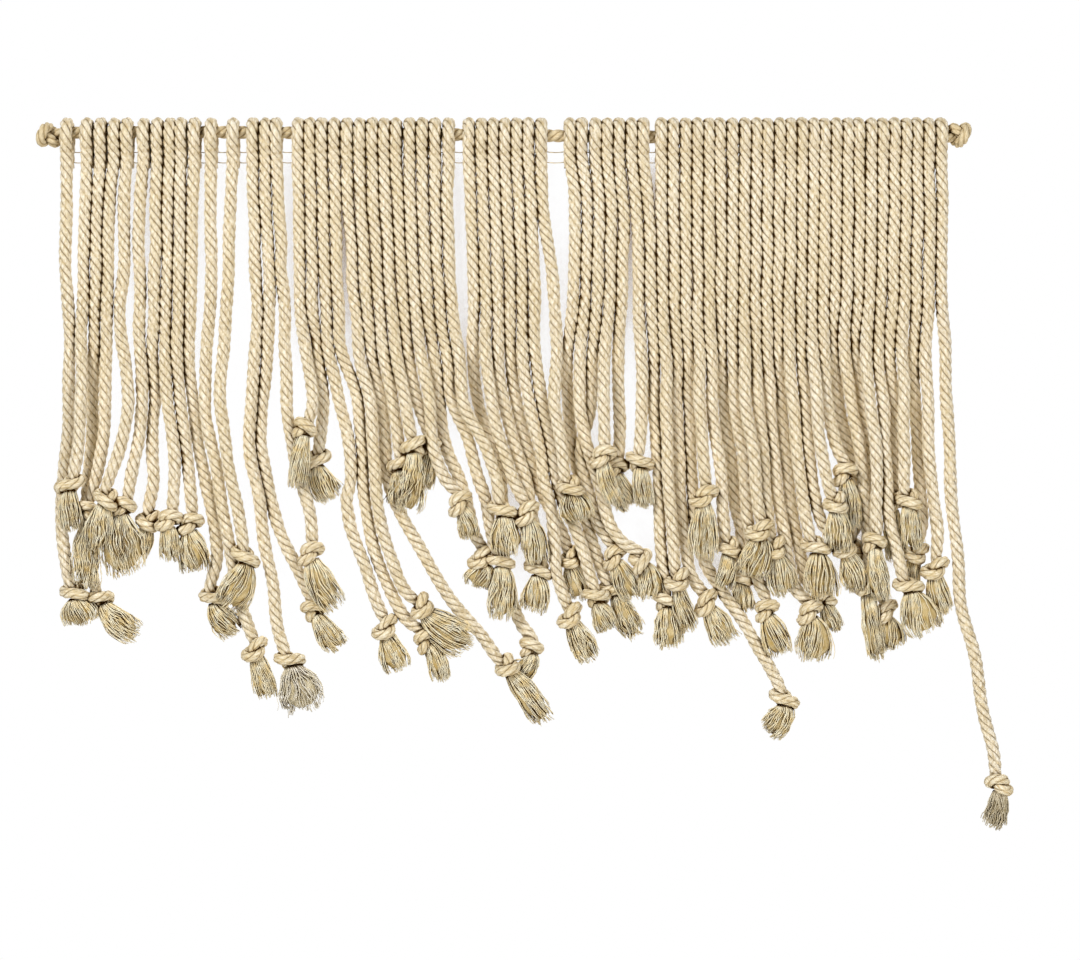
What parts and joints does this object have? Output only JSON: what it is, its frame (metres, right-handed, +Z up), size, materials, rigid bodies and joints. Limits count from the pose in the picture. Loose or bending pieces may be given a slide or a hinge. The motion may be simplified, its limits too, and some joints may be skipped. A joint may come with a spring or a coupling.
{
  "type": "macrame door curtain",
  "caption": "Door curtain of twisted cotton cords that hang from a sewn heading, each ending in a knot and a tuft.",
  "frame": {"origin": "the middle of the top edge, in the plane of the hanging strings", "axes": "+X along the top edge, to the right as the front is seen, +Y from the front to the back, +Z up"},
  "size_m": [0.4186, 0.0265, 0.3062],
  "materials": {
    "cotton": "matt, undyed twisted cotton",
    "holding_cotton": "matt, undyed twisted cotton"
  },
  "bodies": {
    "root": {"string_comb": "cotton", "holding_cord": "holding_cotton"}
  },
  "joints": []
}
